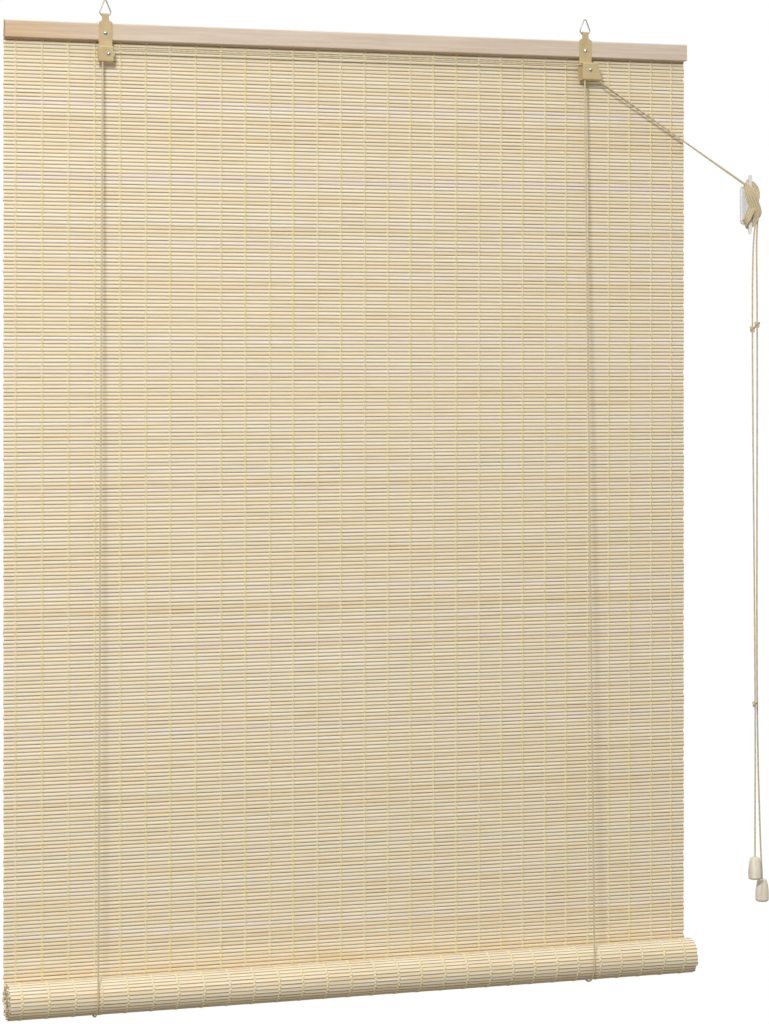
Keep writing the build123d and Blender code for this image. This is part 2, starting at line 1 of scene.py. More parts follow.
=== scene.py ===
# %% [markdown]
# # A bamboo roll-up blind
# A roll-up blind is a mat of split bamboo slats, woven together on upright threads and hung from a wooden
# rail. Two cords run down behind it, round the rolled foot and up again over small wheels, and pulling
# them rolls the mat up from below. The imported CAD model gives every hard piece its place, so this script
# starts by loading it and never moves it. All lengths are in metres.

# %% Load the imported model
import bmesh
import bpy
import json
import random
from math import acos, atan2, cos, degrees, hypot, pi, radians, sin, sqrt
from mathutils import Matrix, Vector, noise


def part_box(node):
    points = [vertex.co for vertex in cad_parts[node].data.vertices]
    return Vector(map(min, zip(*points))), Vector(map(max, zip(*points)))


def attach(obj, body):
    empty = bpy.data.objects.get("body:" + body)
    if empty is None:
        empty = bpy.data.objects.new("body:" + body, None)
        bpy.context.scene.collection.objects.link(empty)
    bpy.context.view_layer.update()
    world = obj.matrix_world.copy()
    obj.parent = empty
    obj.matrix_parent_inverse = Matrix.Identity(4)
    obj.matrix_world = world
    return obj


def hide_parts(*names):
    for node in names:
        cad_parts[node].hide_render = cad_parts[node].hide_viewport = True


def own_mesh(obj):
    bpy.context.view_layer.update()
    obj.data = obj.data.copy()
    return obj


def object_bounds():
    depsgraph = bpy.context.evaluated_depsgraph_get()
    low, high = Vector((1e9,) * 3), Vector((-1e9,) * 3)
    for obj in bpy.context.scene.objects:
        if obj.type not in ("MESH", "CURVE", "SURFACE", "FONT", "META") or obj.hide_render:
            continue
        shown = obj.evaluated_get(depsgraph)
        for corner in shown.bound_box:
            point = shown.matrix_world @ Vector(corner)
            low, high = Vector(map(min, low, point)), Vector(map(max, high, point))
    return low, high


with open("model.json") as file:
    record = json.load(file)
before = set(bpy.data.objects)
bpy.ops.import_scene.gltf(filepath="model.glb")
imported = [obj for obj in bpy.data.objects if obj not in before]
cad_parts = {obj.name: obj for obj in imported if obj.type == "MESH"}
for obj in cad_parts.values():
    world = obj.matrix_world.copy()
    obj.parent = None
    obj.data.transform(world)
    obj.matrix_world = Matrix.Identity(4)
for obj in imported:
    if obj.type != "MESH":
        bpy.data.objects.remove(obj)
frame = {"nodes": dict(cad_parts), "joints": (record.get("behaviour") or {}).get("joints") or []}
CAD_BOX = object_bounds()
MM = 0.001
JOINTS = {joint["name"]: joint for joint in frame["joints"]}
print("CAD box", [round(c, 4) for corner in CAD_BOX for c in corner])

# %% [markdown]
# ## Camera
# The photograph is taken from below the middle of the blind and from its left, with a long lens and the
# camera held level, so upright lines stay upright. A level camera that still shows more below the horizon
# than above it has its lens shifted down. The distances come from the slats: they are 5.07 mm apart, and
# the nearer end shows them larger than the far end.

# %% Camera at the photograph's place
PHOTO_HEIGHT = 1024
FOCAL_PIXELS = 2890.9
HORIZON_PIXELS = 147.5
CAMERA_PLACE = (-1.2209, -3.8538, -0.4952)
CAMERA_TURN = 18.23

camera_data = bpy.data.cameras.new("camera")
camera_data.sensor_width = 36
camera_data.lens = camera_data.sensor_width * FOCAL_PIXELS / PHOTO_HEIGHT
camera_data.shift_y = -HORIZON_PIXELS / PHOTO_HEIGHT
camera = bpy.data.objects.new("camera", camera_data)
bpy.context.collection.objects.link(camera)
camera.location = CAMERA_PLACE
camera.rotation_euler = (radians(90), 0, -radians(CAMERA_TURN))
bpy.context.scene.camera = camera
print("lens", round(camera_data.lens, 2), "mm")

# %% [markdown]
# ## Helpers for materials and light
# Blender's materials, and its world, are trees of nodes. Colours are picked as the eight-bit values that a
# paint chart gives, and a node needs them linear. Each material is a Principled shader, and these helpers
# add its nodes and join them, so that a finish reads as a few lines of plain words.

# %% Helpers for materials
WHITE = (1, 1, 1, 1)


def srgb(red, green, blue):
    """A colour chart's eight-bit values as a linear colour."""
    scaled = [c / 255 for c in (red, green, blue)]
    return (*[c / 12.92 if c <= 0.04045 else ((c + 0.055) / 1.055) ** 2.4 for c in scaled], 1)


class Nodes:
    """A node tree being built: add makes a node, and join links an output to an input."""

    def __init__(self, tree):
        self.tree = tree

    def add(self, kind, **settings):
        node = self.tree.nodes.new("ShaderNode" + kind)
        for name, value in settings.items():
            setattr(node, name, value)
        return node

    def join(self, output, target):
        self.tree.links.new(output, target)

    def math(self, operation, first, second=None, third=None):
        node = self.add("Math", operation=operation)
        for socket, value in zip(node.inputs, (first, second, third)):
            if value is None:
                continue
            if isinstance(value, (int, float)):
                socket.default_value = value
            else:
                self.join(value, socket)
        return node.outputs[0]

    def scaled(self, output, scale):
        node = self.add("VectorMath", operation="MULTIPLY")
        self.join(output, node.inputs[0])
        node.inputs[1].default_value = scale
        return node.outputs[0]

    def noise(self, vector, scale, detail=3.0):
        node = self.add("TexNoise")
        self.join(vector, node.inputs["Vector"])
        node.inputs["Scale"].default_value = scale
        node.inputs["Detail"].default_value = detail
        return node.outputs[0]

    def ramp(self, factor, stops):
        node = self.add("ValToRGB")
        ends = node.color_ramp.elements
        while len(ends) < len(stops):
            ends.new(0.5)
        for end, (place, colour) in zip(ends, stops):
            end.position = place
            end.color = colour
        self.join(factor, node.inputs[0])
        return node.outputs[0]

    def mix(self, factor, first, second, blend="MIX"):
        node = self.add("Mix", data_type="RGBA", blend_type=blend)
        for socket, value in zip((node.inputs[0], node.inputs[6], node.inputs[7]), (factor, first, second)):
            if isinstance(value, (int, float, tuple)):
                socket.default_value = value
            else:
                self.join(value, socket)
        return node.outputs[2]

    def bump(self, height, strength, distance):
        node = self.add("Bump")
        node.inputs["Strength"].default_value = strength
        node.inputs["Distance"].default_value = distance
        self.join(height, node.inputs["Height"])
        return node.outputs[0]

    def axis_share(self, place, axis, start, end):
        """A value that goes from 0 at start to 1 at end along one axis of a vector."""
        parts = self.add("SeparateXYZ")
        self.join(place, parts.inputs[0])
        share = self.add("MapRange")
        self.join(parts.outputs[axis], share.inputs[0])
        share.inputs[1].default_value = start
        share.inputs[2].default_value = end
        return share.outputs[0]

    def for_camera(self, seen, real):
        """A shader that the camera sees as one thing and every other ray as another."""
        choice = self.add("MixShader")
        self.join(self.add("LightPath").outputs["Is Camera Ray"], choice.inputs[0])
        self.join(real, choice.inputs[1])
        self.join(seen, choice.inputs[2])
        return choice.outputs[0]


def new_material(name, roughness, metallic=0.0):
    """A material with only its Principled shader, and its node tree."""
    material = bpy.data.materials.new(name)
    material.use_nodes = True
    shader = material.node_tree.nodes["Principled BSDF"]
    shader.inputs["Roughness"].default_value = roughness
    shader.inputs["Metallic"].default_value = metallic
    return material, Nodes(material.node_tree), shader


def new_group(name, inputs, outputs):
    """An empty shader node group with the named sockets, and the nodes of its inputs and outputs."""
    tree = bpy.data.node_groups.new(name, "ShaderNodeTree")
    for label, kind, value in inputs:
        socket = tree.interface.new_socket(label, in_out="INPUT", socket_type=kind)
        if value is not None:
            socket.default_value = value
    for label, kind in outputs:
        tree.interface.new_socket(label, in_out="OUTPUT", socket_type=kind)
    nodes = Nodes(tree)
    return tree, nodes, nodes.tree.nodes.new("NodeGroupInput"), nodes.tree.nodes.new("NodeGroupOutput")


# %% [markdown]
# ## Light
# The picture is a cut-out on white. The shadows under the rail and the brackets are short and fall to the
# right, so one lamp stands to the left, about twenty degrees above the rail, and is small enough to keep
# their edges. A white world fills the shade. It is brighter above than below, because the photograph's
# roll is pale on top and darkens quickly towards its underside.

# %% World and lamps
LOW_FILL = 0.12
HIGH_FILL = 1.34
KEY_POWER = 89
KEY_PLACE = (-1.7, -3.2, 1.25)
KEY_AIM = (0, 0, -0.4)
KEY_SIZE = 0.55


def studio_world():
    """Plain white to the camera. To other rays, dim below the horizon and brighter higher up."""
    world = bpy.data.worlds.new("studio")
    world.use_nodes = True
    n = Nodes(world.node_tree)
    direction = n.add("SeparateXYZ")
    n.join(n.add("TexCoord").outputs["Generated"], direction.inputs[0])
    fill = n.add("MapRange")
    n.join(direction.outputs["Z"], fill.inputs["Value"])
    fill.inputs["To Min"].default_value = LOW_FILL
    fill.inputs["To Max"].default_value = HIGH_FILL
    sky = n.tree.nodes["Background"]
    sky.inputs["Color"].default_value = WHITE
    n.join(fill.outputs[0], sky.inputs["Strength"])
    backdrop = n.add("Background")
    backdrop.inputs["Color"].default_value = WHITE
    surface = n.tree.nodes["World Output"].inputs["Surface"]
    n.join(n.for_camera(backdrop.outputs[0], sky.outputs[0]), surface)
    return world


def area_lamp(name, place, aim, size, power):
    """A square soft lamp that points at a place."""
    data = bpy.data.lights.new(name, "AREA")
    data.size = size
    data.energy = power
    lamp = bpy.data.objects.new(name, data)
    bpy.context.collection.objects.link(lamp)
    lamp.location = place
    lamp.rotation_euler = (Vector(aim) - Vector(place)).to_track_quat("-Z", "Y").to_euler()


bpy.context.scene.world = studio_world()
area_lamp("key", KEY_PLACE, KEY_AIM, KEY_SIZE, KEY_POWER)
bpy.context.scene.view_settings.view_transform = "Standard"
print("key lamp is", round(degrees(atan2(KEY_PLACE[2], hypot(*KEY_PLACE[:2])))), "degrees above the rail")

# %% [markdown]
# ## Floor
# A floor lies well below the blind. Rays from the camera see it as white as the background, so that the
# blind stays a cut-out, while all other rays see it grey, which keeps the light that bounces up soft and
# low.

# %% The floor
FLOOR_BELOW = 0.6
FLOOR_HALF = 12
FLOOR_MOTTLE = 3.0


def white_floor():
    material, n, shader = new_material("studio_floor", 0.9)
    mottle = n.noise(n.add("TexCoord").outputs["Object"], FLOOR_MOTTLE)
    grey = n.ramp(mottle, [(0.3, srgb(128, 124, 118)), (0.7, srgb(138, 135, 130))])
    n.join(grey, shader.inputs["Base Color"])
    glow = n.add("Emission")
    surface = n.tree.nodes["Material Output"].inputs["Surface"]
    n.join(n.for_camera(glow.outputs[0], shader.outputs[0]), surface)
    return material


floor_height = CAD_BOX[0].z - FLOOR_BELOW
bm = bmesh.new()
bmesh.ops.create_grid(bm, x_segments=1, y_segments=1, size=FLOOR_HALF)
bmesh.ops.translate(bm, verts=bm.verts, vec=(0, 0, floor_height))
floor_mesh = bpy.data.meshes.new("floor")
bm.to_mesh(floor_mesh)
bm.free()
floor_mesh.materials.append(white_floor())
floor = bpy.data.objects.new("floor", floor_mesh)
bpy.context.collection.objects.link(floor)
print("floor at", round(floor_height, 2), "m")

# %% [markdown]
# ## Wood grain
# Rail, batten and acorns are cut from plain pale wood. Its grain is noise pulled out along the piece, so
# one group serves them all: each piece says how far the pattern is stretched along each direction.

# %% Grain group
BROAD_GRAIN = 1.0
FINE_GRAIN = 6.0
BROAD_SHARE = 0.7
GRAIN_CONTRAST = 2.6
GRAIN_SHIFT = -0.8

grain_tree, g, g_in, g_out = new_group(
    "wood_grain",
    [("Vector", "NodeSocketVector", None), ("Light", "NodeSocketColor", (1, 1, 1, 1)),
     ("Dark", "NodeSocketColor", (0, 0, 0, 1))],
    [("Color", "NodeSocketColor"), ("Height", "NodeSocketFloat")],
)
broad = g.noise(g_in.outputs["Vector"], BROAD_GRAIN, 4.0)
fine = g.noise(g_in.outputs["Vector"], FINE_GRAIN, 2.0)
figure = g.math("ADD", g.math("MULTIPLY", broad, BROAD_SHARE), g.math("MULTIPLY", fine, 1 - BROAD_SHARE))
figure = g.math("MULTIPLY_ADD", figure, GRAIN_CONTRAST, GRAIN_SHIFT)
g.join(g.mix(figure, g_in.outputs["Dark"], g_in.outputs["Light"]), g_out.inputs["Color"])
g.join(fine, g_out.inputs["Height"])


def wood(name, light, dark, stretch, roughness, change=None):
    """Plain wood with its grain along the direction that is stretched least. A change tints the colour."""
    material, n, shader = new_material(name, roughness)
    place = n.add("TexCoord").outputs["Object"]
    grain = n.add("Group", node_tree=grain_tree)
    n.join(n.scaled(place, stretch), grain.inputs["Vector"])
    grain.inputs["Light"].default_value = light
    grain.inputs["Dark"].default_value = dark
    colour = grain.outputs["Color"]
    if change:
        colour = change(n, place, colour)
    n.join(colour, shader.inputs["Base Color"])
    n.join(n.bump(grain.outputs["Height"], 0.25, 0.4 * MM), shader.inputs["Normal"])
    return material


def dress(material, *nodes):
    """Gives CAD nodes a material in place of their plain one."""
    for node in nodes:
        for slot in frame["nodes"][node].material_slots:
            slot.material = material
    print(material.name, "on", ", ".join(nodes))

# %% [markdown]
# The rail was cut from one pale board: its left end is a warmer colour, and the rest is greyer. Its planed
# upper edge gets a painted highlight, where it catches the light. Each acorn was turned with the grain
# upright, and the rim of its foot gets painted shade, where its underside turns away from the light.

# %% Wooden pieces
WARM_END = (-0.47, -0.30)
HIGHLIGHT_BAND = (-2.6 * MM, -1.8 * MM)
HIGHLIGHT_STRENGTH = 0.75
FOOT_SHADE_REACH = 4 * MM
FOOT_SHADE_STRENGTH = 0.5
ALONG_RAIL = (9, 260, 260)
UP_ACORN = (320, 320, 14)
RAIL_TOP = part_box("head_rail")[1].z


def rail_tint_and_highlight(n, place, colour):
    """Warms the rail's left end and paints a highlight on its upper edge."""
    tint = [(0.0, srgb(250, 230, 204)), (1.0, srgb(255, 251, 248))]
    colour = n.mix(1.0, colour, n.ramp(n.axis_share(place, 0, *WARM_END), tint), "MULTIPLY")
    # Painted highlight: the rail's upper edge is paled where its rounding catches the light.
    edge = n.axis_share(place, 2, *[RAIL_TOP + reach for reach in HIGHLIGHT_BAND])
    return n.mix(n.math("MULTIPLY", edge, HIGHLIGHT_STRENGTH), colour, srgb(246, 234, 216))


def painted_foot_shade(foot):
    """Painted shade at the foot of an acorn that stands on this height."""
    def change(n, place, colour):
        # Painted shade: darkest at the acorn's foot, where its underside turns away from the light.
        share = n.math("SUBTRACT", 1.0, n.axis_share(place, 2, foot, foot + FOOT_SHADE_REACH))
        return n.mix(n.math("MULTIPLY", share, FOOT_SHADE_STRENGTH), colour, srgb(176, 160, 128))
    return change


rail_wood = wood("rail_wood", srgb(230, 216, 199), srgb(210, 194, 174), ALONG_RAIL, 0.55, rail_tint_and_highlight)
dress(rail_wood, "head_rail")
batten_wood = wood("batten_wood", srgb(226, 206, 166), srgb(194, 168, 124), ALONG_RAIL, 0.6)
dress(batten_wood, "bottom_batten")
for side in ("left", "right"):
    rim = painted_foot_shade(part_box(f"acorn_{side}")[0].z)
    turned = wood(f"acorn_wood_{side}", srgb(252, 245, 230), srgb(222, 208, 184), UP_ACORN, 0.5, rim)
    dress(turned, f"acorn_{side}")

# %% [markdown]
# ## Bamboo
# Each slat is a split of bamboo with its own tone and fine fibres along it. Its lower edge gets painted
# shade, where the gap between slats lies in shadow. How dark the painted shade is changes at each column
# of thread, where the slat is pressed. The pattern has to follow the slat round the roll, so it reads the
# slat's own UV map and an attribute that holds its tone. The UV map counts the spans between columns along
# the slat, and goes from 0 to 1 across it. The columns stand a little closer together towards the right.

# %% Bamboo material
COLUMN_COUNT = 29
FIRST_COLUMN = 15.9 * MM
FIRST_SPACING = 36.3 * MM
LAST_SPACING = 32.6 * MM
SPACING_STEP = (FIRST_SPACING - LAST_SPACING) / (COLUMN_COUNT - 2)
FIBRES_ALONG = 0.45
FIBRES_ACROSS = 6.0
GAP_SHADE_WIDTH = 0.17
GAP_SHADE_UNEVEN = 0.34
GAP_SHADE_DEPTH = 0.72
GAP_SHADE_EXTRA = 0.28
SLAT_TONES = [
    (0.0, srgb(246, 229, 196)), (0.1, srgb(250, 235, 204)), (0.4, srgb(253, 240, 211)),
    (0.8, srgb(254, 242, 216)), (0.93, srgb(246, 238, 212)), (0.97, srgb(253, 241, 226)),
    (1.0, srgb(250, 236, 222)),
]


def column_place(number):
    """How far a column of thread is from the slats' left end."""
    return FIRST_COLUMN + FIRST_SPACING * number - SPACING_STEP * number * (number - 1) / 2


def spans_before(x):
    """How many spans between columns lie left of a place, with its own share of the next."""
    start = FIRST_SPACING + SPACING_STEP / 2
    return (start - sqrt(start ** 2 - 2 * SPACING_STEP * (x - FIRST_COLUMN))) / SPACING_STEP


def slat_fibres(n, along, across, seed):
    """Long fine noise along a slat, which starts at its own place for each seed."""
    place = n.add("CombineXYZ")
    n.join(n.math("MULTIPLY", along, FIBRES_ALONG), place.inputs[0])
    n.join(n.math("MULTIPLY", across, FIBRES_ACROSS), place.inputs[1])
    n.join(seed, place.inputs[2])
    return n.noise(place.outputs[0], 1.0, 4.0)


def painted_gap_shade(n, along, across, seed, fibre):
    """Painted shade for the gap at a slat's lower edge. A few spans between columns get much darker shade.
    """
    span = n.add("CombineXYZ")
    n.join(n.math("FLOOR", along), span.inputs[0])
    n.join(seed, span.inputs[1])
    chance = n.add("TexWhiteNoise", noise_dimensions="3D")
    n.join(span.outputs[0], chance.inputs["Vector"])
    few = n.math("POWER", chance.outputs[0], 4.0)
    width = n.math("MULTIPLY_ADD", fibre, GAP_SHADE_UNEVEN, GAP_SHADE_WIDTH)
    low = n.math("MAXIMUM", n.math("SUBTRACT", 1.0, n.math("DIVIDE", across, width)), 0.0)
    return n.math("MULTIPLY", n.math("POWER", low, 0.6), n.math("MULTIPLY_ADD", few, GAP_SHADE_EXTRA, GAP_SHADE_DEPTH))


def bamboo():
    material, n, shader = new_material("bamboo", 0.5)
    parts = n.add("SeparateXYZ")
    n.join(n.add("UVMap", uv_map="along").outputs[0], parts.inputs[0])
    along, across = parts.outputs[0], parts.outputs[1]
    tone = n.add("Attribute", attribute_name="tone").outputs["Fac"]
    seed = n.math("MULTIPLY", tone, 97.0)
    fibre = slat_fibres(n, along, across, seed)
    streak = n.ramp(fibre, [(0.3, srgb(240, 227, 202)), (0.6, WHITE)])
    colour = n.mix(1.0, n.ramp(tone, SLAT_TONES), streak, "MULTIPLY")
    # Painted shade: each slat's lower edge is darkened where the gap between slats lies in shadow.
    colour = n.mix(painted_gap_shade(n, along, across, seed, fibre), colour, srgb(98, 78, 44))
    n.join(colour, shader.inputs["Base Color"])
    n.join(n.bump(fibre, 0.35, 0.3 * MM), shader.inputs["Normal"])
    return material


bamboo_skin = bamboo()
print("columns from", round(column_place(0), 4), "to", round(column_place(COLUMN_COUNT - 1), 4), "m")

# %% [markdown]
# ## One slat
# A slat is flat behind and slightly crowned in front. Its end is drawn once from six corners, pulled out
# along the slat in short lengths so that it can bend, and given a UV map while it is still straight.

# %% The slat template
SLAT_PITCH = 5.07 * MM
SLAT_WIDTH = 4.95 * MM
SLAT_THICK = 1.3 * MM
SLAT_PARTS = 8
FRONT_FLAT = 0.38
SHOULDER = 0.1
field_low, field_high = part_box("slat_field")
SLAT_LENGTH = field_high.x - field_low.x
SLAT_MIDDLE_Y = (field_low.y + field_high.y) / 2
CAD_SLAT_GAP = 0.42 * MM
CAD_SLAT_HALF = (SLAT_PITCH - CAD_SLAT_GAP) / 2


def slat_template():
    """A straight slat along X from zero, its front towards -Y."""
    h, d = SLAT_WIDTH / 2, SLAT_THICK / 2
    flat, shoulder = FRONT_FLAT * h, SHOULDER * d
    corners = [(d, -h), (d, h), (-shoulder, h), (-d, flat), (-d, -flat), (-shoulder, -h)]
    bm = bmesh.new()
    end = bm.faces.new([bm.verts.new((0, y, z)) for y, z in corners])
    step = Vector((SLAT_LENGTH / SLAT_PARTS, 0, 0))
    for _ in range(SLAT_PARTS):
        made = bmesh.ops.extrude_face_region(bm, geom=[end])["geom"]
        if end.is_valid and end.calc_center_median().x > 0:
            bm.faces.remove(end)
        moved = [v for v in made if isinstance(v, bmesh.types.BMVert)]
        end = next(f for f in made if isinstance(f, bmesh.types.BMFace))
        bmesh.ops.translate(bm, verts=moved, vec=step)
    bmesh.ops.recalc_face_normals(bm, faces=bm.faces)
    layer = bm.loops.layers.uv.new("along")
    for face in bm.faces:
        face.smooth = True
        for loop in face.loops:
            loop[layer].uv = (spans_before(loop.vert.co.x), loop.vert.co.z / SLAT_WIDTH + 0.5)
    mesh = bpy.data.meshes.new("slat")
    bm.to_mesh(mesh)
    bm.free()
    mesh.set_sharp_from_angle(angle=radians(50))
    return mesh


SLAT = slat_template()
print("slat template", len(SLAT.polygons), "faces")

# %% [markdown]
# ## The mat
# Two hundred and more copies of the slat make the hanging mat. Split bamboo is never quite straight, so
# each copy is bent a little by slow noise before it is laid in its place.

# %% Lay the slats
BEND_UP = 0.16 * MM
BEND_OUT = 0.22 * MM
BENDS_UP_PER_METRE = 11
BENDS_OUT_PER_METRE = 7
STAND_FORWARD = 0.3
SEED_STEP = 3.71
FIELD_END_JITTER = 1.2 * MM
ROLL_END_JITTER = 3.5 * MM


def wavy_copy(template, number, shared_seed, end_jitter):
    """A copy of the slat, bent a little its own way."""
    copy = template.copy()
    own = number * SEED_STEP + shared_seed
    shift = noise.noise((own, 5.5, 0.3)) * end_jitter
    for vertex in copy.vertices:
        x = vertex.co.x
        vertex.co.z += BEND_UP * noise.noise((x * BENDS_UP_PER_METRE, own, 0.0))
        vertex.co.y += BEND_OUT * (noise.noise((x * BENDS_OUT_PER_METRE, own, 9.0)) - STAND_FORWARD)
        vertex.co.x += shift
    return copy


def mat_of_slats(name, places, shared_seed, body, nodes, end_jitter=FIELD_END_JITTER):
    """One piece of bent slats, laid by matrices, with a tone for each."""
    bm = bmesh.new()
    bm.loops.layers.uv.new("along")
    for number, place in enumerate(places):
        copy = wavy_copy(SLAT, number, shared_seed, end_jitter)
        copy.transform(place)
        bm.from_mesh(copy)
        bpy.data.meshes.remove(copy)
    mesh = bpy.data.meshes.new(name)
    bm.to_mesh(mesh)
    bm.free()
    chooser = random.Random(shared_seed)
    tones = [chooser.random() for _ in places]
    each = len(mesh.vertices) // len(places)
    layer = mesh.attributes.new("tone", "FLOAT", "POINT")
    layer.data.foreach_set("value", [tones[i // each] for i in range(len(mesh.vertices))])
    return add_piece(name, mesh, body, bamboo_skin, nodes)


def add_piece(name, mesh, body, material, nodes=()):
    """Puts a mesh in the scene as a piece that rides on a body and stands for CAD nodes."""
    mesh.materials.clear()
    mesh.materials.append(material)
    piece = bpy.data.objects.new(name, mesh)
    bpy.context.collection.objects.link(piece)
    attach(piece, body)
    if nodes:
        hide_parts(*nodes)
    mesh.calc_loop_triangles()
    print(name, len(mesh.loop_triangles), "triangles")
    return piece


def rows_between(low, high):
    """A place for each slat between two heights, from the top."""
    count = round((high.z - low.z - 2 * CAD_SLAT_HALF) / SLAT_PITCH) + 1
    return [
        Matrix.Translation((low.x, SLAT_MIDDLE_Y, high.z - CAD_SLAT_HALF - row * SLAT_PITCH))
        for row in range(count)
    ]


field_rows = rows_between(field_low, field_high)
slat_mat = mat_of_slats("slat_mat", field_rows, 11, "blind", ["slat_field"])
top_rows = rows_between(*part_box("top_slats"))
mat_of_slats("top_mat", top_rows, 12, "blind", ["top_slats"])
print(len(field_rows), "slats hang and", len(top_rows), "are behind the rail")

# %% [markdown]
# ## The roll
# The rest of the mat is rolled up from its foot. The roll is a spiral of the same slats, each lying on one
# flat of it, and they show again as a spiral at its open ends. The radius falls by one turn's pitch at each
# turn, which gives each slat its angle.

# %% Lay the rolled slats
ROLL_AXIS = Vector(JOINTS["roll_turn"]["pos_m"])
ROLL_RADIUS = 26 * MM
TURN_PITCH = 2.2 * MM
BATTEN_HALF = (7 * MM, 2 * MM)
BATTEN_EDGE = 1 * MM
BATTEN_GAP = 0.3 * MM


def spiral_stops():
    """Where slat meets slat round the roll: radius and angle, from the outside in."""
    start = ROLL_RADIUS - SLAT_THICK / 2
    last = hypot(hypot(*BATTEN_HALF) + BATTEN_EDGE + BATTEN_GAP + SLAT_THICK / 2, SLAT_PITCH / 2)
    count = int(pi * (start ** 2 - last ** 2) / TURN_PITCH // SLAT_PITCH) + 1
    radii = [sqrt(start ** 2 - TURN_PITCH * SLAT_PITCH * k / pi) for k in range(count)]
    return [(r, (start - r) * 2 * pi / TURN_PITCH) for r in radii]


def spiral_places():
    """The matrix that lays a slat on each flat of the spiral, its back outwards."""
    points = [
        Vector((0, ROLL_AXIS.y + r * cos(turned), ROLL_AXIS.z - r * sin(turned)))
        for r, turned in spiral_stops()
    ]
    places = []
    for above, below in zip(points, points[1:]):
        run = below - above
        tilt = Matrix.Rotation(atan2(run.y, -run.z), 4, "X")
        places.append(Matrix.Translation((field_low.x, *((above + below) / 2).yz)) @ tilt)
    return places


roll_places = spiral_places()
mat_of_slats("rolled_mat", roll_places, 13, "roll", ["rolled_slats"], ROLL_END_JITTER)
print(len(roll_places), "slats are rolled up")

# %% [markdown]
# ## Warp threads
# Pairs of cotton threads hold the slats: one passes in front of a slat while its partner passes behind, and
# they change places in every gap. One stitch, from gap to gap over a slat, is pulled out from a flat end in
# three short lengths. Copies of it, laid front and back by turns, make every column.

# %% The stitch template
THREAD_WIDTH = 2.9 * MM
THREAD_THICK = 0.45 * MM
THREAD_STAND = SLAT_THICK / 2 + 0.22 * MM
PAIR_SHIFT = 0.45 * MM
STITCH_FLAT = 0.6
ENTRY_TILT = 0.5
THREAD_SPREAD = 1.12


def stitch_template():
    """A stitch over the front of a slat at zero, from the gap above it to the gap below."""
    half = SLAT_PITCH / 2
    flat = STITCH_FLAT * half
    stations = [(0, half), (-THREAD_STAND, flat), (-THREAD_STAND, -flat), (0, -half)]
    w, t = THREAD_WIDTH / 2, THREAD_THICK / 2
    bm = bmesh.new()
    y, z = stations[0]
    corners = [(-w, -t), (w, -t), (w, t), (-w, t)]
    end = bm.faces.new([bm.verts.new((a, y + b, z + b * ENTRY_TILT)) for a, b in corners])
    caps = [end]
    for (y0, z0), (y1, z1) in zip(stations, stations[1:]):
        made = bmesh.ops.extrude_face_region(bm, geom=[end])["geom"]
        moved = [v for v in made if isinstance(v, bmesh.types.BMVert)]
        end = next(f for f in made if isinstance(f, bmesh.types.BMFace))
        bmesh.ops.translate(bm, verts=moved, vec=(0, y1 - y0, z1 - z0))
        caps.append(end)
    middle = [v for v in bm.verts if abs(v.co.z) < 0.9 * half]
    bmesh.ops.scale(bm, verts=middle, vec=(THREAD_SPREAD, 1, 1))
    bmesh.ops.recalc_face_normals(bm, faces=bm.faces)
    bmesh.ops.delete(bm, geom=[f for f in caps if f.is_valid], context="FACES_ONLY")
    for face in bm.faces:
        face.smooth = True
    mesh = bpy.data.meshes.new("stitch")
    bm.to_mesh(mesh)
    bm.free()
    return mesh


STITCH = stitch_template()
print("stitch template", len(STITCH.polygons), "faces")

# %% [markdown]
# Each column is two threads that take turns. Where one is in front of a slat, its partner is the same
# stitch turned half round, behind it. A loom is not exact, so a column may stand a little to one side.

# %% Weave the columns
COLUMN_JITTER = 0.8 * MM
HALF_TURN = Matrix.Rotation(pi, 4, "Z")
jitter = random.Random(5)
COLUMNS = [column_place(i) + jitter.uniform(-COLUMN_JITTER, COLUMN_JITTER) for i in range(COLUMN_COUNT)]


def threads(name, places, first_front):
    """One thread of each pair: in front of every other slat and behind the ones between."""
    bm = bmesh.new()
    side = PAIR_SHIFT if first_front else -PAIR_SHIFT
    for column in COLUMNS:
        for row, place in enumerate(places):
            front = (row % 2 == 0) == first_front
            copy = STITCH.copy()
            if not front:
                copy.transform(HALF_TURN)
            copy.transform(place @ Matrix.Translation((column + side, 0, 0)))
            bm.from_mesh(copy)
            bpy.data.meshes.remove(copy)
    bmesh.ops.remove_doubles(bm, verts=bm.verts, dist=0.02 * MM)
    mesh = bpy.data.meshes.new(name)
    bm.to_mesh(mesh)
    bm.free()
    return mesh


print(len(COLUMNS), "columns, the last", round(COLUMNS[-1], 3), "m from the slats' left end")

# %% [markdown]
# The thread itself is soft pale yellow cotton. It is matt, with short uneven fibres, so noise varies its
# colour and its height. Inside the roll no thread shows, so only the outer turn of it gets threads.

# %% Thread material
OUTER_TURN_SLATS = 33
FLUFF = (900, 900, 300)
FADING = (30, 30, 12)


def thread_cotton():
    material, n, shader = new_material("warp_thread", 0.85)
    place = n.add("TexCoord").outputs["Object"]
    fluff = n.noise(n.scaled(place, FLUFF), 1.0, 3.0)
    faded = n.noise(n.scaled(place, FADING), 1.0, 2.0)
    yarn = n.ramp(fluff, [(0.3, srgb(230, 214, 160)), (0.7, srgb(252, 240, 200))])
    yarn = n.mix(n.math("MULTIPLY_ADD", faded, 1.6, -0.6), yarn, srgb(246, 234, 208))
    n.join(yarn, shader.inputs["Base Color"])
    n.join(n.bump(fluff, 0.5, 0.2 * MM), shader.inputs["Normal"])
    return material


